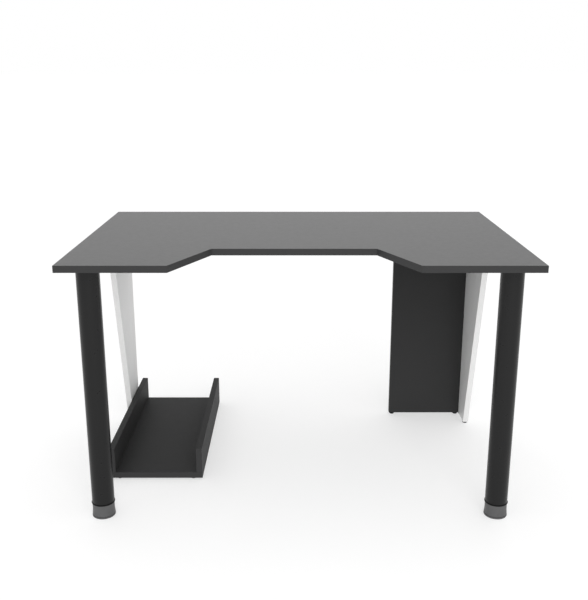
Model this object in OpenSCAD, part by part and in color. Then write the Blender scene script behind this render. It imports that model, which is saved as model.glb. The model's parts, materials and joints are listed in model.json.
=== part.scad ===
// Computer desk: a worktop with a waist cut-out on two round steel legs and two rear
// side panels, with a free-standing stand for a system unit under its left half.
// Millimetres. Floor at z = 0, +Z up. The user sits on the -Y side and +X is to the
// user's right. The origin is on the floor, under the middle of the overall box.

/* [Worktop] */
// Width of the worktop
desk_w = 1200; // [1200:10:1400]
// Depth of the worktop, front edge to back edge
desk_d = 780; // [780:10:850]
// Height of the worktop's upper face above the floor
desk_h = 720; // [700:5:760]
// Thickness of every board
board_t = 18; // [16:1:19]
// Thickness of the edge bands
band_t = 1; // [0.5:0.5:2]

/* [Waist cut-out] */
// Left front corner of the cut-out, measured from the middle of the desk
cut_front_left = -323; // [-340:1:-300]
// Right front corner of the cut-out
cut_front_right = 294; // [270:1:340]
// Left rear corner of the cut-out
cut_rear_left = -234; // [-260:1:-200]
// Right rear corner of the cut-out
cut_rear_right = 204; // [180:1:260]
// Depth of the cut-out
cut_d = 194; // [100:1:220]

/* [Legs] */
// Outer diameter of the leg tube
leg_od = 60; // [50:1:60]
// Wall of the leg tube
leg_wall = 1.5; // [1:0.5:2.5]
// Leg axis to the middle of the desk
leg_x = 537; // [500:1:545]
// Leg axis to the front edge
leg_y = 84; // [70:1:110]
// Side of the square plate on top of the leg
plate_w = 100; // [90:1:110]
// Thickness of that plate
plate_t = 3; // [2:0.5:4]
// Distance between the plate's screws
plate_pitch = 76; // [70:1:80]

/* [Feet] */
// Height of the pad under the foot
pad_h = 5; // [4:0.5:6]
// Height of the foot's upper rim above the floor
foot_h = 39; // [36:1:50]
// Largest diameter of the foot, at its base
foot_base_d = 62.4; // [60:0.2:66]
// Diameter of the foot's upper part
foot_top_d = 59; // [50:1:60]
// Thickness of the collar ring above the foot
collar_t = 3.5; // [3:0.5:6]
// Diameter of the collar ring
collar_d = 63; // [61:0.5:66]
// Diameter of the levelling stud
stud_d = 10; // [8:1:12]
// How far the foot screws out
foot_travel = 20; // [10:1:25]

/* [Rear supports] */
// Outer faces of the side panels, inset from the worktop's sides
side_inset = 16; // [10:1:17]
// Depth of a side panel at its foot
side_foot_d = 99; // [80:1:140]
// Depth of a side panel at its top
side_top_d = 278; // [200:1:300]
// Width of the dark back panel on the right
back_panel_w = 246; // [200:1:300]
// Height of the glides under the panels
glide_h = 6; // [4:1:8]
// Height of the rail under the worktop's back edge
rail_h = 100; // [80:5:105]

/* [System-unit stand] */
// Left outer face of the stand, measured from the middle of the desk
stand_left = -564; // [-564:1:-540]
// Clear width between its rails
bay_w = 240; // [180:1:250]
// Stand's front face behind the worktop's front edge
stand_front = 282; // [280:1:320]
// Length of the stand
stand_len = 580; // [560:5:600]
// Top of its rails above the floor
stand_h = 98; // [80:1:120]
// Height of its glides
stand_glide_h = 4; // [3:1:6]

/* [Hidden] */

$fn = 72;
eps = 1;                     // overshoot of a cutting tool
gap = 0.1;                   // radial clearance round a screw shank
over = 1;                    // how much deeper than the screw its hole is

// Levels and planes
top_z = desk_h - board_t;    // underside of the worktop
front_y = -max(desk_d, stand_front + stand_len) / 2;
rear_y = front_y + desk_d;
panel_face_x = desk_w / 2 - side_inset - board_t;  // inner face of a side panel
back_panel_y = rear_y - board_t;                   // front face of the dark back panel
rail_y = back_panel_y - board_t;                   // front face of the back rail
rail_z = top_z - rail_h;
side_slope = (side_top_d - side_foot_d) / (top_z - glide_h);
band_run = band_t * sqrt(1 + side_slope * side_slope);

// Screws: shank, length, head diameter, head height
wood_screw = [4.5, 15, 9, 2.5];
bracket_screw = [3.5, 14, 7, 2];
connector = [7, 50, 10, 5];
back_screw = [4.5, 28, 8, 2.5];
cap_d = 12;
cap_t = 0.8;
back_screw_z = [60, 330, 560];                     // connectors into the back panel
rail_screw_z = [rail_z + 0.3 * rail_h, rail_z + 0.7 * rail_h];
rail_screw_x = [for (f = [0.2, 0.8]) panel_face_x - f * back_panel_w];

// Leg
socket_play = 0.4;           // the top plate's socket in the tube, on the diameter
socket_od = leg_od - 2 * leg_wall - socket_play;
socket_h = 30;
plug_play = 0.2;             // the collar's plug in the tube, on the diameter
plug_od = leg_od - 2 * leg_wall - plug_play;
plug_h = 26;
plug_z = foot_h + collar_t;
nut_flats = 17;
nut_corners = nut_flats / cos(30);
nut_play = 0.4;              // the nut in its pocket, across the corners
nut_h = 8;
nut_z = plug_z + plug_h - nut_h;
grub_d = 6;
grub_len = 8;
grub_hex = 3.4;              // across the corners of its socket
grub_hex_depth = 3;
stud_fit = 0.05;             // running clearance of the stud in the nut
cup_gap = 0.3;               // between the foot and the collar above it
cup_top = foot_h - cup_gap;
cup_floor = 6;               // thickness of the foot's crown

// Brackets
bracket_leg = 30;
bracket_w = 22;
bracket_t = 2;
bracket_behind_edge = 70;    // first bracket behind the side panel's front edge
bracket_before_rail = 50;    // second bracket in front of the back rail
side_bracket_y = [rear_y - side_top_d + bracket_behind_edge, rail_y - bracket_before_rail];
rail_bracket_x = [-180, 180];

// Stand
stand_right = stand_left + bay_w + 2 * board_t;
stand_y0 = front_y + stand_front;
stand_y1 = stand_y0 + stand_len;
stand_top = stand_glide_h + board_t;               // upper face of the stand's base
stand_screw_y = [for (f = [0.1, 0.5, 0.9]) stand_y0 + f * stand_len];
stand_glide_y = [for (f = [0.02, 0.98]) stand_y0 + f * stand_len];
stand_glide_in = 28;

grey_board = [0.50, 0.50, 0.51];
dark_band = [0.28, 0.28, 0.29];
dark_board = [0.18, 0.18, 0.19];
white_board = [0.93, 0.93, 0.92];
leg_black = [0.17, 0.17, 0.18];
plastic_black = [0.07, 0.07, 0.07];
plastic_grey = [0.43, 0.43, 0.44];
zinc = [0.72, 0.73, 0.75];

// ---------------------------------------------------------------- outlines

// Left normal of the direction from a to b
function normal(a, b) = let (d = (b - a) / norm(b - a)) [-d[1], d[0]];

// Point of a path moved inwards by t on its mitre
function mitre(path, i, t) =
    let (n1 = normal(path[i - 1], path[i]), n2 = normal(path[i], path[i + 1]))
    path[i] + t * (n1 + n2) / (1 + n1 * n2);

function reversed(list) = [for (i = [len(list) - 1 : -1 : 0]) list[i]];

// Front edge of the worktop with the cut-out, from left to right
front_path = [
    [-desk_w / 2, front_y], [cut_front_left, front_y],
    [cut_rear_left, front_y + cut_d], [cut_rear_right, front_y + cut_d],
    [cut_front_right, front_y], [desk_w / 2, front_y]
];
inner_path = [for (i = [1 : len(front_path) - 2]) mitre(front_path, i, band_t)];
core_x = desk_w / 2 - band_t;
core_outline = concat(
    [[-core_x, front_y + band_t]], inner_path,
    [[core_x, front_y + band_t], [core_x, rear_y - band_t], [-core_x, rear_y - band_t]]);
band_outline = concat(
    front_path, [[desk_w / 2, front_y + band_t]], reversed(inner_path),
    [[-desk_w / 2, front_y + band_t]]);

// ------------------------------------------------------------ small pieces

// Draws its children at the four corners of a square of side w
module at_square(w) {
    for (x = [-w / 2, w / 2], y = [-w / 2, w / 2])
        translate([x, y, 0]) children();
}

// Screw with its head's underside at z = 0 and its shank along +Z
module screw(s) {
    slot = s[2] * 0.6;
    slot_w = 1.2;
    slot_depth = s[3] * 0.6;
    difference() {
        union() {
            cylinder(d = s[0], h = s[1], $fn = 24);
            translate([0, 0, -s[3]]) cylinder(d = s[2], h = s[3], $fn = 32);
        }
        for (a = [0, 90])
            rotate([0, 0, a])
                translate([-slot / 2, -slot_w / 2, -s[3] - eps])
                    cube([slot, slot_w, eps + slot_depth]);
    }
}

// Hole for a screw's shank
module pilot(s) {
    translate([0, 0, -eps]) cylinder(d = s[0] + 2 * gap, h = s[1] + eps + over, $fn = 24);
}

// Round glide with a softened lower edge, standing on z = 0
module glide(d, h) {
    soft = 1;
    rotate_extrude($fn = 48)
        polygon([[0, 0], [d / 2 - soft, 0], [d / 2, soft], [d / 2, h], [0, h]]);
}

// Steel angle with one leg against the ceiling z = 0 and one against the wall x = 0
module bracket() {
    difference() {
        union() {
            translate([-bracket_leg, -bracket_w / 2, -bracket_t])
                cube([bracket_leg, bracket_w, bracket_t]);
            translate([-bracket_t, -bracket_w / 2, -bracket_leg])
                cube([bracket_t, bracket_w, bracket_leg]);
        }
        bracket_screw_places() pilot(bracket_screw);
    }
}

// Places of the bracket's two screws: one upwards and one into the wall
module bracket_screw_places() {
    translate([-bracket_leg * 0.6, 0, -bracket_t]) children();
    translate([-bracket_t, 0, -bracket_leg * 0.6]) rotate([0, 90, 0]) children();
}

// ----------------------------------------------------------------- worktop

module desktop_panel() {
    color(grey_board) difference() {
        translate([0, 0, top_z]) linear_extrude(board_t) polygon(core_outline);
        for (side = [-1, 1]) leg_screw_places(side) pilot(wood_screw);
        for (side = [-1, 1]) side_bracket_places(side) bracket_screw_places() pilot(bracket_screw);
        rail_bracket_places() bracket_screw_places() pilot(bracket_screw);
    }
}

module desktop_front_band() {
    color(dark_band) translate([0, 0, top_z]) linear_extrude(board_t) polygon(band_outline);
}

module desktop_back_band() {
    color(dark_band) translate([-desk_w / 2, rear_y - band_t, top_z])
        cube([desk_w, band_t, board_t]);
}

module desktop_side_band(side) {
    color(dark_band)
        translate([side > 0 ? core_x : -desk_w / 2, front_y + band_t, top_z])
            cube([band_t, desk_d - 2 * band_t, board_t]);
}

// -------------------------------------------------------------------- legs

module at_leg(side) {
    translate([side * leg_x, front_y + leg_y, 0]) children();
}

module leg_screw_places(side) {
    at_leg(side) translate([0, 0, top_z - plate_t]) at_square(plate_pitch) children();
}

module leg_tube(side) {
    z0 = plug_z;
    z1 = top_z - plate_t;
    color(leg_black) at_leg(side) difference() {
        translate([0, 0, z0]) cylinder(d = leg_od, h = z1 - z0, $fn = 96);
        translate([0, 0, z0 - eps]) cylinder(d = leg_od - 2 * leg_wall, h = z1 - z0 + 2 * eps, $fn = 96);
        grub_place() cylinder(d = grub_d + 2 * gap, h = leg_wall + 2 * eps, center = true, $fn = 24);
    }
}

// The grub screw's place, in the wall at the back of the leg
module grub_place() {
    translate([0, leg_od / 2 - leg_wall / 2, top_z - plate_t - socket_h / 2]) rotate([90, 0, 0])
        children();
}

module leg_plate(side) {
    corner = 12;
    socket_wall = 3;
    color(zinc) at_leg(side) difference() {
        union() {
            translate([0, 0, top_z - plate_t]) linear_extrude(plate_t) {
                square([plate_w, plate_w - 2 * corner], center = true);
                square([plate_w - 2 * corner, plate_w], center = true);
                at_square(plate_w - 2 * corner) circle(r = corner);
            }
            translate([0, 0, top_z - plate_t - socket_h]) cylinder(d = socket_od, h = socket_h + eps);
        }
        translate([0, 0, top_z - plate_t - socket_h - eps])
            cylinder(d = socket_od - 2 * socket_wall, h = socket_h + eps);
        translate([0, 0, top_z - plate_t]) at_square(plate_pitch) pilot(wood_screw);
        grub_place() cylinder(d = grub_d + 2 * gap, h = 4 * grub_len, center = true, $fn = 24);
    }
}

module leg_screws(side) {
    color(zinc) leg_screw_places(side) screw(wood_screw);
}

module leg_grub_screw(side) {
    color(plastic_black) at_leg(side) grub_place() translate([0, 0, -leg_wall / 2])
        difference() {
            cylinder(d = grub_d, h = grub_len, $fn = 24);
            translate([0, 0, -eps]) cylinder(d = grub_hex, h = eps + grub_hex_depth, $fn = 6);
        }
}

module leg_collar(side) {
    bore = stud_d + 1;
    color(plastic_black) at_leg(side) difference() {
        union() {
            translate([0, 0, foot_h]) cylinder(d = collar_d, h = collar_t, $fn = 96);
            translate([0, 0, plug_z]) cylinder(d = plug_od, h = plug_h, $fn = 96);
        }
        translate([0, 0, foot_h - eps]) cylinder(d = bore, h = collar_t + plug_h + 2 * eps);
        translate([0, 0, nut_z]) cylinder(d = nut_corners + nut_play, h = nut_h + eps, $fn = 6);
    }
}

module leg_nut(side) {
    color(zinc) at_leg(side) translate([0, 0, nut_z]) difference() {
        cylinder(d = nut_corners, h = nut_h, $fn = 6);
        translate([0, 0, -eps]) cylinder(r = stud_d / 2 + stud_fit, h = nut_h + 2 * eps);
    }
}

// -------------------------------------------------------------------- feet

// Cup-shaped foot: straight upper part, flared skirt, hollow from below. A groove
// parts the skirt from the pad that it turns on.
module foot_cup(side) {
    wall = 3.5;
    set_back = 0.5;          // the skirt stands back from the pad's rim
    turn_gap = 0.05;         // between the pad and the cup that turns on it
    groove_h = 1.6;
    groove_in = 1.5;
    lip = 1;
    r_top = foot_top_d / 2;
    r_base = foot_base_d / 2 - set_back;
    z0 = pad_h + turn_gap;
    z_flare = pad_h + (foot_h - pad_h) * 0.35;
    color(plastic_grey) at_leg(side) rotate_extrude($fn = 96)
        polygon([
            [stud_d / 2, cup_top - cup_floor], [r_top - wall, cup_top - cup_floor],
            [r_top - wall, z_flare], [r_base - wall, z0], [r_base - groove_in, z0],
            [r_base - groove_in, z0 + groove_h], [r_base, z0 + groove_h],
            [r_top, z_flare], [r_top, cup_top - lip], [r_top - lip, cup_top],
            [stud_d / 2, cup_top]
        ]);
}

module foot_stud(side) {
    spare = 2;               // stud above the nut when the foot is all the way out
    shaft_top = nut_z + nut_h + foot_travel + spare;
    chamfer = 1;
    flange = stud_d / 2 + 6;
    flange_t = 4;
    z1 = cup_top - cup_floor;
    z0 = z1 - flange_t;
    color(zinc) at_leg(side) rotate_extrude()
        polygon([
            [0, z0], [flange, z0], [flange, z1], [stud_d / 2, z1],
            [stud_d / 2, shaft_top - chamfer], [stud_d / 2 - chamfer, shaft_top], [0, shaft_top]
        ]);
}

// Ring under the foot, with a rounded lower edge
module foot_pad(side) {
    ring_w = 9;
    round_r = 2;
    r = foot_base_d / 2;
    inner = r - ring_w;
    color(plastic_grey) at_leg(side) rotate_extrude($fn = 96) {
        translate([r - round_r, round_r]) circle(r = round_r, $fn = 32);
        translate([inner, 0]) square([r - round_r - inner, pad_h]);
        translate([r - round_r - eps, round_r]) square([round_r + eps, pad_h - round_r]);
    }
}

// ----------------------------------------------------------- rear supports

// Outline of a side panel in Y and Z; shift moves its front edge back
function side_outline(shift) = [
    [rear_y, glide_h], [rear_y, top_z],
    [rear_y - side_top_d + shift, top_z], [rear_y - side_foot_d + shift, glide_h]
];

// Strip between the nominal front edge and the panel's core
side_band_outline = [
    [rear_y - side_top_d, top_z], [rear_y - side_foot_d, glide_h],
    [rear_y - side_foot_d + band_run, glide_h], [rear_y - side_top_d + band_run, top_z]
];

// Extrudes a Y-Z outline along +X from x
module extrude_x(x, t) {
    translate([x, 0, 0]) rotate([90, 0, 90]) linear_extrude(t) children();
}

module mirrored(side) {
    if (side > 0) children();
    else mirror([1, 0, 0]) children();
}

// Connector axes along X, from the panel's outer face inwards
module side_connector_places(side) {
    levels = side > 0 ? back_screw_z : [];
    mirrored(side) {
        for (z = levels)
            translate([panel_face_x + board_t, back_panel_y + board_t / 2, z]) rotate([0, -90, 0])
                children();
        for (z = rail_screw_z)
            translate([panel_face_x + board_t, rail_y + board_t / 2, z]) rotate([0, -90, 0])
                children();
    }
}

module connector_hole() {
    translate([0, 0, connector[3]]) pilot(connector);
    translate([0, 0, -eps]) cylinder(d = connector[2] + 2 * gap, h = connector[3] + eps, $fn = 32);
}

module side_panel(side) {
    color(white_board) difference() {
        mirrored(side) extrude_x(panel_face_x, board_t) polygon(side_outline(band_run));
        side_connector_places(side) connector_hole();
        side_bracket_places(side) bracket_screw_places() pilot(bracket_screw);
    }
}

module side_front_band(side) {
    color(white_board) mirrored(side) extrude_x(panel_face_x, board_t) polygon(side_band_outline);
}

module side_screws(side) {
    color(zinc) side_connector_places(side) translate([0, 0, connector[3]]) screw(connector);
}

module side_caps(side) {
    color(white_board) side_connector_places(side) translate([0, 0, -cap_t])
        cylinder(d = cap_d, h = cap_t, $fn = 48);
}

module side_glides(side) {
    glide_d = 16;
    inset = 12;
    color(plastic_black) mirrored(side)
        for (y = [rear_y - side_foot_d + inset, rear_y - inset])
            translate([panel_face_x + board_t / 2, y, 0]) glide(glide_d, glide_h);
}

// Joining screws from the back panel's rear face into the rail
module back_screw_places() {
    for (x = rail_screw_x, z = rail_screw_z)
        translate([x, rear_y, z]) rotate([90, 0, 0]) children();
}

module back_screw_hole() {
    translate([0, 0, back_screw[3]]) pilot(back_screw);
    translate([0, 0, -eps]) cylinder(d = back_screw[2] + 2 * gap, h = back_screw[3] + eps, $fn = 32);
}

module right_back_panel() {
    x0 = panel_face_x - back_panel_w + band_t;
    color(dark_board) difference() {
        translate([x0, back_panel_y, glide_h]) cube([panel_face_x - x0, board_t, top_z - glide_h]);
        side_connector_places(1) connector_hole();
        back_screw_places() back_screw_hole();
    }
}

module right_back_inner_band() {
    color(dark_board) translate([panel_face_x - back_panel_w, back_panel_y, glide_h])
        cube([band_t, board_t, top_z - glide_h]);
}

module right_back_screws() {
    color(zinc) back_screw_places() translate([0, 0, back_screw[3]]) screw(back_screw);
}

module right_back_glides() {
    glide_d = 16;
    inset = 11;
    color(plastic_black)
        for (x = [panel_face_x - back_panel_w + inset, panel_face_x - inset])
            translate([x, back_panel_y + board_t / 2, 0]) glide(glide_d, glide_h);
}

module back_rail() {
    color(dark_board) difference() {
        translate([-panel_face_x, rail_y, rail_z]) cube([2 * panel_face_x, board_t, rail_h]);
        for (side = [-1, 1]) side_connector_places(side) connector_hole();
        back_screw_places() back_screw_hole();
        rail_bracket_places() bracket_screw_places() pilot(bracket_screw);
    }
}

// ---------------------------------------------------------------- brackets

module side_bracket_places(side) {
    mirrored(side)
        for (y = side_bracket_y)
            translate([panel_face_x, y, top_z]) children();
}

module rail_bracket_places() {
    for (x = rail_bracket_x)
        translate([x, rail_y, top_z]) rotate([0, 0, 90]) children();
}

module side_brackets(side) {
    color(zinc) side_bracket_places(side) bracket();
}

module side_bracket_screws(side) {
    color(zinc) side_bracket_places(side) bracket_screw_places() screw(bracket_screw);
}

module rail_brackets() {
    color(zinc) rail_bracket_places() bracket();
}

module rail_bracket_screws() {
    color(zinc) rail_bracket_places() bracket_screw_places() screw(bracket_screw);
}

// ------------------------------------------------------- system-unit stand

function stand_rail_x(side) = side > 0 ? stand_right - board_t : stand_left;

// Connector axes along Z, from the base's underside up into a rail
module stand_connector_places(side) {
    for (y = stand_screw_y)
        translate([stand_rail_x(side) + board_t / 2, y, stand_glide_h]) children();
}

module stand_base() {
    color(dark_band) difference() {
        translate([stand_left, stand_y0 + band_t, stand_glide_h])
            cube([stand_right - stand_left, stand_len - band_t, board_t]);
        for (side = [-1, 1]) stand_connector_places(side) connector_hole();
    }
}

module stand_base_band() {
    color(dark_band) translate([stand_left, stand_y0, stand_glide_h])
        cube([stand_right - stand_left, band_t, board_t]);
}

module stand_rail(side) {
    color(dark_board) difference() {
        translate([stand_rail_x(side), stand_y0 + band_t, stand_top])
            cube([board_t, stand_len - band_t, stand_h - stand_top]);
        stand_connector_places(side) connector_hole();
    }
}

module stand_rail_band(side) {
    color(dark_band) translate([stand_rail_x(side), stand_y0, stand_top])
        cube([board_t, band_t, stand_h - stand_top]);
}

module stand_screws(side) {
    color(zinc) stand_connector_places(side) translate([0, 0, connector[3]]) screw(connector);
}

module stand_glides(side) {
    glide_d = 14;
    x = side > 0 ? stand_right - stand_glide_in : stand_left + stand_glide_in;
    color(plastic_black)
        for (y = stand_glide_y) translate([x, y, 0]) glide(glide_d, stand_glide_h);
}

// ------------------------------------------------------------------- nodes

desktop_panel();
desktop_front_band();
desktop_back_band();
desktop_side_band(-1);  // desktop_left_band
desktop_side_band(1);  // desktop_right_band
leg_tube(-1);  // left_leg_tube
leg_plate(-1);  // left_leg_plate
leg_screws(-1);  // left_leg_screws
leg_grub_screw(-1);  // left_leg_grub_screw
leg_collar(-1);  // left_leg_collar
leg_nut(-1);  // left_leg_nut
foot_cup(-1);  // left_foot_cup
foot_stud(-1);  // left_foot_stud
foot_pad(-1);  // left_foot_pad
leg_tube(1);  // right_leg_tube
leg_plate(1);  // right_leg_plate
leg_screws(1);  // right_leg_screws
leg_grub_screw(1);  // right_leg_grub_screw
leg_collar(1);  // right_leg_collar
leg_nut(1);  // right_leg_nut
foot_cup(1);  // right_foot_cup
foot_stud(1);  // right_foot_stud
foot_pad(1);  // right_foot_pad
side_panel(1);  // right_side_panel
side_front_band(1);  // right_side_front_band
side_screws(1);  // right_side_screws
side_caps(1);  // right_side_caps
side_glides(1);  // right_side_glides
right_back_panel();
right_back_inner_band();
right_back_screws();
right_back_glides();
side_panel(-1);  // left_side_panel
side_front_band(-1);  // left_side_front_band
side_screws(-1);  // left_side_screws
side_caps(-1);  // left_side_caps
side_glides(-1);  // left_side_glides
back_rail();
rail_brackets();
rail_bracket_screws();
side_brackets(1);  // right_side_brackets
side_bracket_screws(1);  // right_bracket_screws
side_brackets(-1);  // left_side_brackets
side_bracket_screws(-1);  // left_bracket_screws
stand_base();
stand_rail(-1);  // stand_left_rail
stand_rail(1);  // stand_right_rail
stand_base_band();
stand_rail_band(-1);  // stand_left_band
stand_rail_band(1);  // stand_right_band
stand_screws(-1);  // stand_left_screws
stand_screws(1);  // stand_right_screws
stand_glides(-1);  // stand_left_glides
stand_glides(1);  // stand_right_glides
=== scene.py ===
"""Looks of the computer desk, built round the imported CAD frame.

Metres, in the row frame: floor at z = 0, the user on the -Y side, +X to the user's right.
Each CAD node is stood for by a more detailed mesh, which takes its place and size from the
node itself.
"""
import json
import math
from collections import namedtuple

import bmesh
import bpy
from mathutils import Matrix, Vector
from mathutils.bvhtree import BVHTree


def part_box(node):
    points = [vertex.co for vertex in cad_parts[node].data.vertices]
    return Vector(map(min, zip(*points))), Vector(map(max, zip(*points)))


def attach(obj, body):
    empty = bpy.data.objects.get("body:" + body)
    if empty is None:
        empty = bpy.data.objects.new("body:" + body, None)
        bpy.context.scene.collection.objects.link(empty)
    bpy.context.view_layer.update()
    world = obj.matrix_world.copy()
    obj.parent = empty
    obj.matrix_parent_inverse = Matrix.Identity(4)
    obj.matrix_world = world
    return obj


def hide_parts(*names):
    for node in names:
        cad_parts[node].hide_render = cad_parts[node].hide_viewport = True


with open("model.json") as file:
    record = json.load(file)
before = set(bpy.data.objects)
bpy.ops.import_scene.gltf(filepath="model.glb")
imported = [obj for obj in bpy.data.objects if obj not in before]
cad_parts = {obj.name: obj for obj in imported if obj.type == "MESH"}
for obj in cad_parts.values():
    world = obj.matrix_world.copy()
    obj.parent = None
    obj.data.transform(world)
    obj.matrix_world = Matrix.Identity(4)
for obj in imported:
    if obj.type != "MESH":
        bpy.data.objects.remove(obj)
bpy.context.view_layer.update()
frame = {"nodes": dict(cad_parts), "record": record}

MM = 0.001
NODES = frame["nodes"]
BODY_OF = {n: b for b, ns in frame["record"]["behaviour"]["bodies"].items() for n in ns}
SLOT_OF = {s["node"]: s["material_slot"] for s in frame["record"]["subparts"]}

# ------------------------------------------------------------------ shaders


class Shader:
    """A node material with the few building blocks that the finishes share.

    Texture scales are in features per metre, and bump depths in metres.
    """

    def __init__(self, name, colour, roughness, metallic=0.0, specular=0.5):
        self.mat = bpy.data.materials.new(name)
        self.mat.use_nodes = True
        self.tree = self.mat.node_tree
        self.bsdf = self.tree.nodes["Principled BSDF"]
        self.bsdf.inputs["Metallic"].default_value = metallic
        self.bsdf.inputs["Specular IOR Level"].default_value = specular
        self.bsdf.inputs["Roughness"].default_value = roughness
        self.bsdf.inputs["Base Color"].default_value = (*colour, 1)
        self.colour = colour
        self.place = self.tree.nodes.new("ShaderNodeTexCoord").outputs["Object"]

    def link(self, a, b):
        self.tree.links.new(a, b)

    def mapped(self, stretch):
        """Object coordinates scaled along each axis: a small value draws a texture out."""
        node = self.tree.nodes.new("ShaderNodeMapping")
        node.inputs["Scale"].default_value = stretch
        self.link(self.place, node.inputs["Vector"])
        return node.outputs["Vector"]

    def noise(self, scale, detail=2.0, rough=0.5, stretch=(1, 1, 1)):
        node = self.tree.nodes.new("ShaderNodeTexNoise")
        node.inputs["Scale"].default_value = scale
        node.inputs["Detail"].default_value = detail
        node.inputs["Roughness"].default_value = rough
        self.link(self.mapped(stretch), node.inputs["Vector"])
        return node.outputs["Fac"]

    def cells(self, scale):
        node = self.tree.nodes.new("ShaderNodeTexVoronoi")
        node.feature = "SMOOTH_F1"
        node.inputs["Scale"].default_value = scale
        self.link(self.place, node.inputs["Vector"])
        return node.outputs["Distance"]

    def span(self, value, low, high):
        """Maps a texture's middle range to low .. high."""
        node = self.tree.nodes.new("ShaderNodeMapRange")
        limits = {"From Min": 0.3, "From Max": 0.7, "To Min": low, "To Max": high}
        for key, number in limits.items():
            node.inputs[key].default_value = number
        self.link(value, node.inputs["Value"])
        return node.outputs["Result"]

    def product(self, a, b):
        node = self.tree.nodes.new("ShaderNodeMath")
        node.operation = "MULTIPLY"
        self.link(a, node.inputs[0])
        self.link(b, node.inputs[1])
        return node.outputs["Value"]

    def tint(self, factor):
        """Multiplies the base colour by a texture-driven factor."""
        node = self.tree.nodes.new("ShaderNodeVectorMath")
        node.operation = "SCALE"
        node.inputs[0].default_value = self.colour
        self.link(factor, node.inputs["Scale"])
        self.link(node.outputs["Vector"], self.bsdf.inputs["Base Color"])

    def rough(self, value):
        self.link(value, self.bsdf.inputs["Roughness"])

    def bump(self, height, depth, strength):
        """Adds relief on top of any relief that is already there."""
        node = self.tree.nodes.new("ShaderNodeBump")
        node.inputs["Distance"].default_value = depth
        node.inputs["Strength"].default_value = strength
        self.link(height, node.inputs["Height"])
        last = self.bsdf.inputs["Normal"].links
        if last:
            self.link(last[0].from_socket, node.inputs["Normal"])
        self.link(node.outputs["Normal"], self.bsdf.inputs["Normal"])


def laminate(name, colour, roughness, specular):
    """Melamine face: fine pearl texture, faint fibres and a broad, barely visible mottling."""
    s = Shader(name, colour, roughness, specular=specular)
    fibre = s.span(s.noise(900, 3, 0.6, (0.25, 1, 1)), 0.95, 1.05)
    mottle = s.span(s.noise(9, 3), 0.985, 1.015)
    s.tint(s.product(fibre, mottle))
    s.rough(s.span(s.noise(60, 4, 0.6), roughness - 0.015, roughness + 0.015))
    s.bump(s.cells(700), 0.09 * MM, 0.6)
    s.bump(s.noise(260, 2), 0.04 * MM, 0.5)
    return s.mat


def edge_band(name, colour, roughness, specular, grain):
    """ABS band: smoother than the face, with faint scraper marks along its length."""
    s = Shader(name, colour, roughness, specular=specular)
    s.tint(s.span(s.noise(700, 2, 0.5, grain), 0.97, 1.03))
    s.rough(s.span(s.noise(90, 3), roughness - 0.015, roughness + 0.015))
    s.bump(s.noise(500, 2, 0.5, grain), 0.01 * MM, 0.4)
    return s.mat


def powder_coat(name, colour, roughness, specular):
    """Powder-coated steel: orange peel and a fine sparkle of grain."""
    s = Shader(name, colour, roughness, specular=specular)
    s.tint(s.span(s.noise(1400, 2), 0.92, 1.08))
    s.rough(s.span(s.noise(45, 3), roughness - 0.03, roughness + 0.03))
    s.bump(s.noise(320, 2, 0.4), 0.02 * MM, 0.5)
    s.bump(s.noise(1500, 1), 0.008 * MM, 0.5)
    return s.mat


def moulded(name, colour, roughness, specular):
    """Moulded plastic: spark-eroded grain, with rubbed patches."""
    s = Shader(name, colour, roughness, specular=specular)
    s.tint(s.span(s.noise(35, 4, 0.6), 0.92, 1.08))
    s.rough(s.span(s.noise(70, 4, 0.65), roughness - 0.08, roughness + 0.08))
    s.bump(s.noise(1100, 2, 0.6), 0.03 * MM, 0.6)
    return s.mat


def plated(name, colour, roughness):
    """Zinc plating: uneven sheen with fine drawing marks."""
    s = Shader(name, colour, roughness, metallic=1.0)
    s.tint(s.span(s.noise(70, 3), 0.94, 1.03))
    s.rough(s.span(s.noise(120, 2), roughness - 0.05, roughness + 0.07))
    s.bump(s.noise(900, 2, 0.5, (1, 1, 0.1)), 0.004 * MM, 0.4)
    return s.mat


def grey(red_and_green, blue):
    return (red_and_green, red_and_green, blue)


# How a band's scraper marks are drawn out: along a level band, and along an upright one.
LEVEL_GRAIN = (0.02, 0.02, 1)
UPRIGHT_GRAIN = (1, 1, 0.02)

FINISHES = {
    "worktop_laminate": laminate("worktop_laminate", grey(0.056, 0.0565), 0.42, 0.45),
    "dark_edge_band": edge_band("dark_edge_band", grey(0.037, 0.0375), 0.46, 0.15, LEVEL_GRAIN),
    "dark_board": laminate("dark_board", grey(0.0355, 0.0358), 0.62, 0.10),
    "white_board": laminate("white_board", grey(0.755, 0.75), 0.40, 0.45),
    "white_band": edge_band("white_band", grey(0.79, 0.785), 0.40, 0.5, UPRIGHT_GRAIN),
    "leg_paint": powder_coat("leg_paint", grey(0.0095, 0.0097), 0.30, 0.22),
    "black_plastic": moulded("black_plastic", grey(0.006, 0.006), 0.45, 0.1),
    "grey_plastic": moulded("grey_plastic", grey(0.085, 0.0865), 0.48, 0.4),
    "zinc": plated("zinc", (0.68, 0.69, 0.70), 0.32),
}

# ------------------------------------------------------------- mesh building


def at(point):
    return Matrix.Translation(point)


def along(direction):
    """Rotation that turns +Z to a direction."""
    return Vector((0, 0, 1)).rotation_difference(Vector(direction)).to_matrix().to_4x4()


def mesh_of(bm, name):
    """Turns a bmesh into a mesh, and frees it."""
    mesh = bpy.data.meshes.new(name)
    bm.to_mesh(mesh)
    bm.free()
    return mesh


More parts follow.
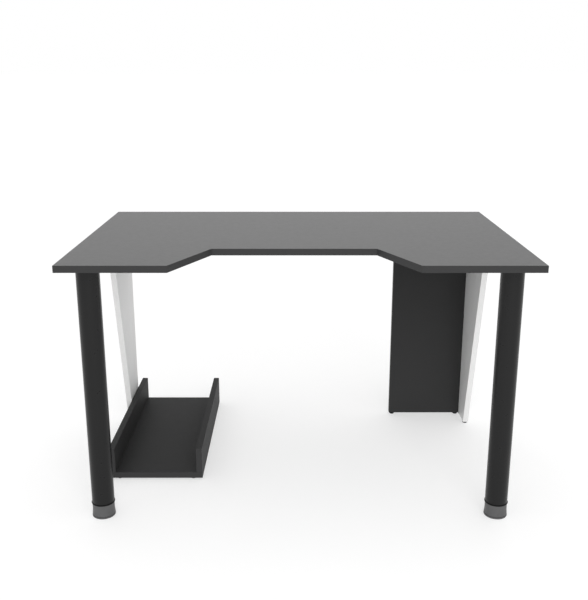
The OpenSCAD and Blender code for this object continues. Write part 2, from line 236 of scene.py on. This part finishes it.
def rounded(corners):
    """Outline through (radius, height, fillet) corners, each rounded by its fillet."""
    steps = 5
    points = []
    for i, (r, z, fillet) in enumerate(corners):
        here = Vector((r, z))
        if not fillet:
            points.append(here)
            continue
        before = Vector(corners[i - 1][:2])
        after = Vector(corners[(i + 1) % len(corners)][:2])
        a = here + (before - here).normalized() * fillet
        b = here + (after - here).normalized() * fillet
        for k in range(steps + 1):
            t = k / steps
            points.append(a.lerp(here, t).lerp(here.lerp(b, t), t))
    return points


def lathe(corners, segments):
    """Closed outline turned about Z; a point on the axis closes the surface there."""
    bm = bmesh.new()
    rings = []
    for p in rounded(corners):
        turns = segments if p.x > 1e-9 else 1
        angles = [2 * math.pi * k / turns for k in range(turns)]
        rings.append([bm.verts.new((p.x * math.cos(t), p.x * math.sin(t), p.y)) for t in angles])
    for ring, above in zip(rings, rings[1:] + rings[:1]):
        for k in range(segments):
            around = [ring[k % len(ring)], ring[(k + 1) % len(ring)],
                      above[(k + 1) % len(above)], above[k % len(above)]]
            face = list(dict.fromkeys(around))
            if len(face) > 2:
                bm.faces.new(face)
    bmesh.ops.recalc_face_normals(bm, faces=bm.faces)
    return bm


def thread(bm, radius, pitch, start, end, depth, segments=28):
    """Adds a helical ridge, closed at both ends, to a shank along Z of that radius."""
    half_width = pitch * 0.42
    root = radius - depth * 0.3
    thin = 0.02
    turns = (end - start - pitch) / pitch
    count = max(4, int(turns * segments))
    rows = []
    for i in range(count + 1):
        angle = 2 * math.pi * turns * i / count
        middle = start + pitch / 2 + pitch * turns * i / count
        height = thin + (1 - thin) * min(1, i / segments, (count - i) / segments)
        ridge = ((root, -half_width), (radius + depth * height, 0), (root, half_width))
        rows.append([bm.verts.new((r * math.cos(angle), r * math.sin(angle), middle + dz))
                     for r, dz in ridge])
    for low, high in zip(rows, rows[1:]):
        for k in range(3):
            bm.faces.new((low[k], low[(k + 1) % 3], high[(k + 1) % 3], high[k]))
    bm.faces.new(rows[0])
    bm.faces.new(rows[-1])
    bmesh.ops.recalc_face_normals(bm, faces=bm.faces)


def prism(outline, low, high):
    """Solid between two heights over an outline in X and Y."""
    bm = bmesh.new()
    bottom = [bm.verts.new((x, y, low)) for x, y in outline]
    top = [bm.verts.new((x, y, high)) for x, y in outline]
    bm.faces.new(bottom)
    bm.faces.new(top)
    for k in range(len(outline)):
        n = (k + 1) % len(outline)
        bm.faces.new((bottom[k], bottom[n], top[n], top[k]))
    bmesh.ops.recalc_face_normals(bm, faces=bm.faces)
    return bm


def cut(mesh, cutter):
    """The mesh with a cutter's volume taken out of it."""
    objects = [bpy.data.objects.new("cutting", m) for m in (mesh, cutter)]
    for obj in objects:
        bpy.context.scene.collection.objects.link(obj)
    tool = objects[0].modifiers.new("cut", "BOOLEAN")
    tool.operation = "DIFFERENCE"
    tool.solver = "EXACT"
    tool.object = objects[1]
    bpy.context.view_layer.update()
    evaluated = objects[0].evaluated_get(bpy.context.evaluated_depsgraph_get())
    result = bpy.data.meshes.new_from_object(evaluated)
    for obj in objects:
        bpy.data.objects.remove(obj)
    return result


def threaded(body, radius, pitch, start, end, depth):
    """The body with a helical ridge added to its shank."""
    ridge = bmesh.new()
    thread(ridge, radius, pitch, start, end, depth, segments=20)
    return merged([body, mesh_of(ridge, "ridge")], "threaded")


def merged(meshes, name):
    """One mesh of several closed ones."""
    bm = bmesh.new()
    for mesh in meshes:
        bm.from_mesh(mesh)
        bpy.data.meshes.remove(mesh)
    bmesh.ops.recalc_face_normals(bm, faces=bm.faces)
    return mesh_of(bm, name)


def welded(node):
    """A copy of a CAD node's mesh with its coincident corners joined."""
    bm = bmesh.new()
    bm.from_mesh(NODES[node].data)
    bmesh.ops.remove_doubles(bm, verts=bm.verts, dist=0.01 * MM)
    return bm


def cleaned(node):
    """A welded copy of a CAD node's mesh, with one face for each flat side."""
    bm = welded(node)
    bmesh.ops.dissolve_limit(bm, angle_limit=math.radians(1), verts=bm.verts, edges=bm.edges)
    return bm


def round_edges(bm, edges, radius, segments):
    bmesh.ops.bevel(bm, geom=edges, offset=radius, segments=segments, profile=0.5,
                    affect="EDGES")


def sharp_edges(bm, degrees):
    """Edges at which the surface turns by more than an angle."""
    limit = math.radians(degrees)
    return [e for e in bm.edges if len(e.link_faces) == 2 and e.calc_face_angle(0) > limit]


def solids(node):
    """(lowest corner, highest corner) of each separate solid in a CAD node."""
    bm = welded(node)
    found = []
    waiting = set(bm.verts)
    while waiting:
        group = [waiting.pop()]
        for vert in group:
            for edge in vert.link_edges:
                other = edge.other_vert(vert)
                if other in waiting:
                    waiting.remove(other)
                    group.append(other)
        found.append(tuple(Vector([pick(v.co[i] for v in group) for i in range(3)])
                           for pick in (min, max)))
    bm.free()
    return sorted(found, key=lambda c: tuple(round(x, 5) for x in c[0]))


def surface_tree(*nodes):
    """Search tree over the surfaces of some CAD nodes."""
    bm = bmesh.new()
    for node in nodes:
        bm.from_mesh(NODES[node].data)
    tree = BVHTree.FromBMesh(bm)
    bm.free()
    return tree


def show(mesh, name, node, smooth_deg=35):
    """Puts a mesh on the body of the CAD node it stands for, in that node's finish."""
    mesh.shade_smooth()
    mesh.set_sharp_from_angle(angle=math.radians(smooth_deg))
    mesh.materials.clear()
    mesh.materials.append(FINISHES[SLOT_OF[node]])
    obj = bpy.data.objects.new(name, mesh)
    bpy.context.scene.collection.objects.link(obj)
    normals = obj.modifiers.new("flat faces stay flat", "WEIGHTED_NORMAL")
    normals.keep_sharp = True
    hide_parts(node)
    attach(obj, BODY_OF[node])


# ------------------------------------------------------------------- boards


def make_board(node):
    """Board with crisp arrises that leave a fine line beside an edge band."""
    bm = cleaned(node)
    round_edges(bm, sharp_edges(bm, 60), 0.12 * MM, 2)
    show(mesh_of(bm, node), "board." + node, node)


def make_band(node, board, others):
    """Edge band whose outer arrises are scraped round; its joints stay tight."""
    near_board, near_band = 0.6 * MM, 0.1 * MM
    bm = cleaned(node)
    inside = surface_tree(board)
    beside = surface_tree(*others) if others else None
    outer = []
    for edge in bm.edges:
        middle = (edge.verts[0].co + edge.verts[1].co) / 2
        if inside.find_nearest(middle)[3] < near_board:
            continue
        if beside and beside.find_nearest(middle)[3] < near_band:
            continue
        if edge.calc_face_angle(0) > math.radians(20):
            outer.append(edge)
    round_edges(bm, outer, 0.6 * MM, 4)
    show(mesh_of(bm, node), "band." + node, node)


BANDS_OF = {
    "desktop_panel": ["desktop_front_band", "desktop_back_band", "desktop_left_band",
                      "desktop_right_band"],
    "right_side_panel": ["right_side_front_band"],
    "left_side_panel": ["left_side_front_band"],
    "right_back_panel": ["right_back_inner_band"],
    "back_rail": [],
    "stand_base": ["stand_base_band"],
    "stand_left_rail": ["stand_left_band"],
    "stand_right_rail": ["stand_right_band"],
}

for board_name, band_names in BANDS_OF.items():
    make_board(board_name)
    for band_name in band_names:
        make_band(band_name, board_name, [n for n in band_names if n != band_name])

# --------------------------------------------------------------- legs, feet

STUD_R = 5 * MM
STUD_CORE_R = 4.5 * MM
STUD_PITCH = 1.5 * MM


def centre_of(node):
    """Where a CAD node's vertical axis meets the floor."""
    low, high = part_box(node)
    return Vector(((low.x + high.x) / 2, (low.y + high.y) / 2, 0))


def show_turned(bm, group, node):
    """Shows a lathed form on the vertical axis of a CAD node."""
    mesh = mesh_of(bm, node)
    mesh.transform(at(centre_of(node)))
    show(mesh, group + "." + node, node)


def widest(node, above):
    """Largest radius of a CAD node about its own vertical axis, above a height."""
    axis = centre_of(node)
    return max(math.hypot(v.co.x - axis.x, v.co.y - axis.y)
               for v in NODES[node].data.vertices if v.co.z > above)


def hex_cutter(width, low, high):
    """Hexagonal prism between two heights, that wide from corner to corner."""
    outline = [(width / 2 * math.cos(math.pi * k / 3), width / 2 * math.sin(math.pi * k / 3))
               for k in range(6)]
    return mesh_of(prism(outline, low, high), "hex")


def make_tube(node, grub):
    """Leg tube with rounded ends and a hole for its grub screw at the back."""
    wall, rim = 1.5 * MM, 0.5 * MM
    hole_play, reach = 1.04, 10 * MM
    low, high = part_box(node)
    r = (high.x - low.x) / 2
    tube = mesh_of(lathe([(r - wall, low.z, rim), (r, low.z, rim), (r, high.z, rim),
                          (r - wall, high.z, rim)], 128), node)
    grub_low, grub_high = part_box(grub)
    hole_r = (grub_high.x - grub_low.x) / 2 * hole_play
    hole = mesh_of(lathe([(0, -reach, 0), (hole_r, -reach, 0), (hole_r, reach, 0),
                          (0, reach, 0)], 32), "hole")
    grub_z = (grub_low.z + grub_high.z) / 2
    hole.transform(at((0, r, grub_z)) @ Matrix.Rotation(math.pi / 2, 4, "X"))
    tube = cut(tube, hole)
    tube.transform(at(centre_of(node)))
    show(tube, "leg." + node, node)


def make_collar(node, tube_end):
    """Plug with a ring that stands a little proud of the tube, like a bead."""
    step, bore_play, bead = 3.1 * MM, 0.5 * MM, 1.5 * MM
    low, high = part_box(node)
    ring_r = (high.x - low.x) / 2
    plug_r = ring_r - step
    bore_r = STUD_R + bore_play
    corners = [(bore_r, low.z, 0.4 * MM), (ring_r, low.z, bead), (ring_r, tube_end, bead),
               (plug_r, tube_end, 0), (plug_r, high.z, 1 * MM), (bore_r, high.z, 0.4 * MM)]
    show_turned(lathe(corners, 128), "collar", node)


def make_grub_screw(node):
    """Threaded pin with a hexagon socket in its outer end."""
    hex_w, hex_depth, pitch = 3.4 * MM, 3 * MM, 1 * MM
    low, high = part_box(node)
    r = (high.x - low.x) / 2
    core_r = r * 0.86
    length = high.y - low.y
    body = mesh_of(lathe([(0, 0, 0), (core_r, 0, 0.3 * MM), (core_r, length, 0.8 * MM),
                          (0, length, 0)], 32), node)
    body = cut(body, hex_cutter(hex_w, length - hex_depth, length + MM))
    body = threaded(body, core_r, pitch, 0, length, r * 0.1)
    middle = (low + high) / 2
    body.transform(at((middle.x, low.y, middle.z)) @ Matrix.Rotation(-math.pi / 2, 4, "X"))
    show(body, "grub." + node, node)


def make_machined(node):
    """Steel piece: the CAD node's own shape with its edges rounded."""
    bm = cleaned(node)
    round_edges(bm, sharp_edges(bm, 55), 0.4 * MM, 2)
    show(mesh_of(bm, node), "metal." + node, node)


def make_cup(node):
    """Hollow foot: straight upper part, flared skirt and a groove above the pad."""
    wall, crown = 3.5 * MM, 6 * MM
    groove_in, groove_h = 1.5 * MM, 1.6 * MM
    skirt_h = 3.5 * MM
    low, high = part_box(node)
    base_r = (high.x - low.x) / 2
    top_r = widest(node, high.z - 3 * MM)
    flare_z = low.z + (high.z - low.z) * 0.36
    crown_z = high.z - crown
    skirt_z = low.z + groove_h
    corners = [
        (STUD_R, crown_z, 0), (top_r - wall, crown_z, 2 * MM), (top_r - wall, flare_z, 8 * MM),
        (base_r - wall, low.z, 0), (base_r - groove_in, low.z, 0),
        (base_r - groove_in, skirt_z, 0), (base_r, skirt_z, 0.6 * MM),
        (base_r, skirt_z + skirt_h, 2 * MM), (top_r, flare_z, 6 * MM),
        (top_r, high.z, 1.6 * MM), (STUD_R, high.z, 0)]
    show_turned(lathe(corners, 128), "foot", node)


def make_pad(node):
    """Ring with a rounded lower edge, on which the cup turns."""
    ring_w = 9 * MM
    low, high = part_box(node)
    r = (high.x - low.x) / 2
    corners = [(r - ring_w, low.z, 0.6 * MM), (r, low.z, 2.6 * MM), (r, high.z, 0.7 * MM),
               (r - ring_w, high.z, 0.6 * MM)]
    show_turned(lathe(corners, 128), "pad", node)


def make_stud(node):
    """Levelling stud with a flange that bears up against the cup's crown."""
    flange_t = 4 * MM
    low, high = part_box(node)
    flange_r = (high.x - low.x) / 2
    flange_z = low.z + flange_t
    bm = lathe([(0, low.z, 0), (flange_r, low.z, 0.8 * MM), (flange_r, flange_z, 0.8 * MM),
                (STUD_CORE_R, flange_z, 0), (STUD_CORE_R, high.z, 0.9 * MM), (0, high.z, 0)], 48)
    thread(bm, STUD_CORE_R, STUD_PITCH, flange_z, high.z, 0.48 * MM)
    show_turned(bm, "stud", node)


for side_name in ("left", "right"):
    leg, foot = side_name + "_leg_", side_name + "_foot_"
    make_tube(leg + "tube", leg + "grub_screw")
    make_collar(leg + "collar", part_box(leg + "tube")[0].z)
    make_grub_screw(leg + "grub_screw")
    make_machined(leg + "plate")
    make_machined(leg + "nut")
    make_cup(foot + "cup")
    make_pad(foot + "pad")
    make_stud(foot + "stud")

# ---------------------------------------------------------------- fasteners

Screw = namedtuple("Screw", "shank_d length head_d head_h")
LEG_SCREW = Screw(4.5 * MM, 15 * MM, 9 * MM, 2.5 * MM)
BRACKET_SCREW = Screw(3.5 * MM, 14 * MM, 7 * MM, 2 * MM)
BACK_SCREW = Screw(4.5 * MM, 28 * MM, 8 * MM, 2.5 * MM)
CONNECTOR = Screw(7 * MM, 50 * MM, 10 * MM, 5 * MM)


def blade(width, thickness, depth):
    """One wing of a cross recess, narrower towards its tip at z = depth."""
    taper = 0.45
    bm = prism([(-width / 2, -thickness / 2), (width / 2, -thickness / 2),
                (width / 2, thickness / 2), (-width / 2, thickness / 2)], -depth, depth)
    for v in bm.verts:
        if v.co.z > 0:
            v.co.x *= taper
    return mesh_of(bm, "blade")


def cross_recess(body, width, thickness, bottom, depth):
    """The body with a cross recess cut upwards into its underside."""
    for angle in (0, math.pi / 2):
        wing = blade(width, thickness, depth)
        wing.transform(at((0, 0, bottom)) @ Matrix.Rotation(angle, 4, "Z"))
        body = cut(body, wing)
    return body


def wood_screw(size):
    """Wood screw along +Z, whose domed head is below z = 0."""
    d, length, head_d, head_h = size
    core_r = d * 0.36
    tip, run_out = 3 * MM, 2 * MM
    body = mesh_of(lathe([
        (0, -head_h, 0), (head_d * 0.36, -head_h, head_h * 0.5),
        (head_d / 2, -head_h * 0.35, head_h * 0.2), (head_d / 2, 0, 0.1 * MM), (core_r, 0, 0),
        (core_r, length - tip, 0.5 * MM), (0, length, 0)], 40), "screw")
    body = cross_recess(body, head_d * 0.56, head_d * 0.13, -head_h, head_h * 0.7)
    return threaded(body, core_r, d * 0.42, 0, length - run_out, d * 0.13)


def connecting_screw(size):
    """Connecting screw along +Z, whose flat head has a hexagon socket."""
    d, length, head_d, head_h = size
    core_r = d * 0.38
    plain = 12 * MM
    hex_w, hex_depth, pitch = 4.6 * MM, 3 * MM, 3 * MM
    body = mesh_of(lathe([
        (0, -head_h, 0), (head_d / 2, -head_h, 0.4 * MM), (head_d / 2, -head_h * 0.5, 0.4 * MM),
        (d / 2, 0, 0.4 * MM), (d / 2, plain, 0.3 * MM), (core_r, plain + MM, 0.3 * MM),
        (core_r, length, 1.2 * MM), (0, length, 0)], 40), "connector")
    body = cut(body, hex_cutter(hex_w, -head_h - MM, -head_h + hex_depth))
    return threaded(body, core_r, pitch, plain + MM, length - MM, d * 0.115)


def screw_axis(low, high, towards):
    """Direction of a screw's tip: along its box's longest side, with the sign of towards."""
    size = high - low
    longest = max(range(3), key=lambda i: size[i])
    axis = Vector((0, 0, 0))
    axis[longest] = math.copysign(1, towards[longest])
    return axis


def make_screws(node, mesh, size, towards):
    """Puts a copy of the screw at each solid of the node, with its tip the given way."""
    bm = bmesh.new()
    for low, high in solids(node):
        axis = screw_axis(low, high, towards)
        reach = abs((high - low).dot(axis)) / 2
        seat = (low + high) / 2 - axis * (reach - size.head_h)
        copy = mesh.copy()
        copy.transform(at(seat) @ along(axis))
        bm.from_mesh(copy)
        bpy.data.meshes.remove(copy)
    show(mesh_of(bm, node), "screws." + node, node, smooth_deg=30)


leg_screw = wood_screw(LEG_SCREW)
bracket_screw = wood_screw(BRACKET_SCREW)
back_screw = wood_screw(BACK_SCREW)
connector = connecting_screw(CONNECTOR)

for side_name, inwards in (("left", 1), ("right", -1)):
    make_screws(side_name + "_leg_screws", leg_screw, LEG_SCREW, (0, 0, 1))
    make_screws(side_name + "_bracket_screws", bracket_screw, BRACKET_SCREW, (-inwards, 0, 1))
    make_screws(side_name + "_side_screws", connector, CONNECTOR, (inwards, 0, 0))
    make_screws(f"stand_{side_name}_screws", connector, CONNECTOR, (0, 0, 1))
make_screws("rail_bracket_screws", bracket_screw, BRACKET_SCREW, (0, 1, 1))
make_screws("right_back_screws", back_screw, BACK_SCREW, (0, -1, 0))

# ------------------------------------------------- brackets, caps and glides


def make_brackets(node, outward):
    """Bent steel angles with a rounded bend, one for each solid of the node."""
    sheet, end, outer, inner = 2 * MM, 0.3 * MM, 3 * MM, 1 * MM
    # The profile is drawn in X and Y: its top leg lies under the worktop, the other on a board.
    stand_up = Matrix(((1, 0, 0, 0), (0, 0, -1, 0), (0, 1, 0, 0), (0, 0, 0, 1)))
    facing = Matrix.Rotation(math.atan2(outward.y, outward.x), 4, "Z")
    meshes = []
    for low, high in solids(node):
        size = high - low
        leg = size.z
        width = size.y if outward.x else size.x
        outline = rounded([(-leg, -sheet, end), (-sheet, -sheet, inner), (-sheet, -leg, end),
                           (0, -leg, end), (0, 0, outer), (-leg, 0, end)])
        mesh = mesh_of(prism([tuple(p) for p in outline], -width / 2, width / 2), "bracket")
        corner = Vector(((low.x + high.x) / 2, (low.y + high.y) / 2, high.z))
        mesh.transform(at(corner + outward * leg / 2) @ facing @ stand_up)
        meshes.append(mesh)
    show(merged(meshes, node), "brackets." + node, node)


def make_caps(node, outward):
    """Domed cover caps on a side panel's outer face."""
    meshes = []
    for low, high in solids(node):
        size = high - low
        r, t = size.z / 2, size.x
        mesh = mesh_of(lathe([(0, 0, 0), (r, 0, 0.1 * MM), (r, t * 0.45, 0.25 * MM),
                              (r * 0.6, t, 2 * MM), (0, t, 0)], 48), "cap")
        mesh.transform(at((low + high) / 2 - outward * t / 2) @ along(outward))
        meshes.append(mesh)
    show(merged(meshes, node), "caps." + node, node)


def make_glides(node):
    """Moulded glides with rounded soles, each with a dimple for its nail."""
    meshes = []
    for low, high in solids(node):
        r, h = (high.x - low.x) / 2, high.z - low.z
        corners = [(0, h * 0.25, 0), (r * 0.22, h * 0.25, 0), (r * 0.3, 0, 0.3 * MM),
                   (r, 0, h * 0.35), (r, h * 0.62, 0.3 * MM), (r * 0.86, h * 0.7, 0.3 * MM),
                   (r * 0.86, h, 0), (0, h, 0)]
        mesh = mesh_of(lathe(corners, 48), "glide")
        mesh.transform(at(((low.x + high.x) / 2, (low.y + high.y) / 2, low.z)))
        meshes.append(mesh)
    show(merged(meshes, node), "glides." + node, node)


RIGHT = Vector((1, 0, 0))
LEFT = Vector((-1, 0, 0))
BACK = Vector((0, 1, 0))

make_brackets("right_side_brackets", RIGHT)
make_brackets("left_side_brackets", LEFT)
make_brackets("rail_brackets", BACK)
make_caps("right_side_caps", RIGHT)
make_caps("left_side_caps", LEFT)
for glide_name in [n for n in NODES if n.endswith("_glides")]:
    make_glides(glide_name)

# ------------------------------------------------------------ stage, camera


def make_floor():
    """Pale floor, large enough for its far edge to be lost in the white behind it."""
    side = 400
    bpy.ops.mesh.primitive_plane_add(size=side)
    floor = bpy.context.object
    floor.name = "studio_floor"
    s = Shader("studio_floor", grey(0.55, 0.55), 0.9, specular=0.1)
    s.tint(s.span(s.noise(3, 2), 0.995, 1.005))
    s.bsdf.inputs["Emission Color"].default_value = (1, 1, 1, 1)
    s.bsdf.inputs["Emission Strength"].default_value = 0.5
    floor.data.materials.append(s.mat)


def make_world():
    """Surroundings that give less light from the sides, but look plain white to the camera."""
    front_level, side_level = 1.08, 0.45
    world = bpy.data.worlds.new("studio")
    world.use_nodes = True
    nodes, link = world.node_tree.nodes, world.node_tree.links.new
    lit = nodes["Background"]
    seen = nodes.new("ShaderNodeBackground")
    for background in (lit, seen):
        background.inputs["Color"].default_value = (1, 1, 1, 1)
    direction = nodes.new("ShaderNodeTexCoord").outputs["Generated"]
    axes = nodes.new("ShaderNodeSeparateXYZ")
    sideways = nodes.new("ShaderNodeMath")
    sideways.operation = "MULTIPLY"
    level = nodes.new("ShaderNodeMapRange")
    level.inputs["To Min"].default_value = front_level
    level.inputs["To Max"].default_value = side_level
    rays = nodes.new("ShaderNodeLightPath").outputs["Is Camera Ray"]
    choice = nodes.new("ShaderNodeMixShader")
    link(direction, axes.inputs["Vector"])
    for socket in sideways.inputs[:2]:
        link(axes.outputs["X"], socket)
    link(sideways.outputs["Value"], level.inputs["Value"])
    link(level.outputs["Result"], lit.inputs["Strength"])
    link(rays, choice.inputs["Fac"])
    link(lit.outputs["Background"], choice.inputs[1])
    link(seen.outputs["Background"], choice.inputs[2])
    link(choice.outputs["Shader"], nodes["World Output"].inputs["Surface"])
    bpy.context.scene.world = world


def make_key_light():
    """Large soft box, high in front of the desk and a little to its right."""
    data = bpy.data.lights.new("key", "AREA")
    data.shape = "RECTANGLE"
    data.size = 3.0
    data.size_y = 2.0
    data.energy = 60
    light = bpy.data.objects.new("key", data)
    light.location = (0.6, -4.2, 2.4)
    knee_height = 0.4
    aim = Vector((0, 0, knee_height)) - light.location
    light.rotation_euler = aim.to_track_quat("-Z", "Y").to_euler()
    bpy.context.scene.collection.objects.link(light)


def make_camera():
    """Camera in front of the desk at standing height, looking down along its depth."""
    lens_mm = 49.22
    look_down_deg = 15.73
    left_of_middle = 0.0157
    before_front_edge = 1.928
    height = 1.1773
    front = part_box("desktop_front_band")[0].y
    data = bpy.data.cameras.new("camera")
    data.lens = lens_mm
    camera = bpy.data.objects.new("camera", data)
    camera.location = (-left_of_middle, front - before_front_edge, height)
    camera.rotation_euler = (math.radians(90 - look_down_deg), 0, 0)
    bpy.context.scene.collection.objects.link(camera)
    bpy.context.scene.camera = camera


make_floor()
make_world()
make_key_light()
make_camera()
bpy.context.scene.view_settings.view_transform = "Standard"
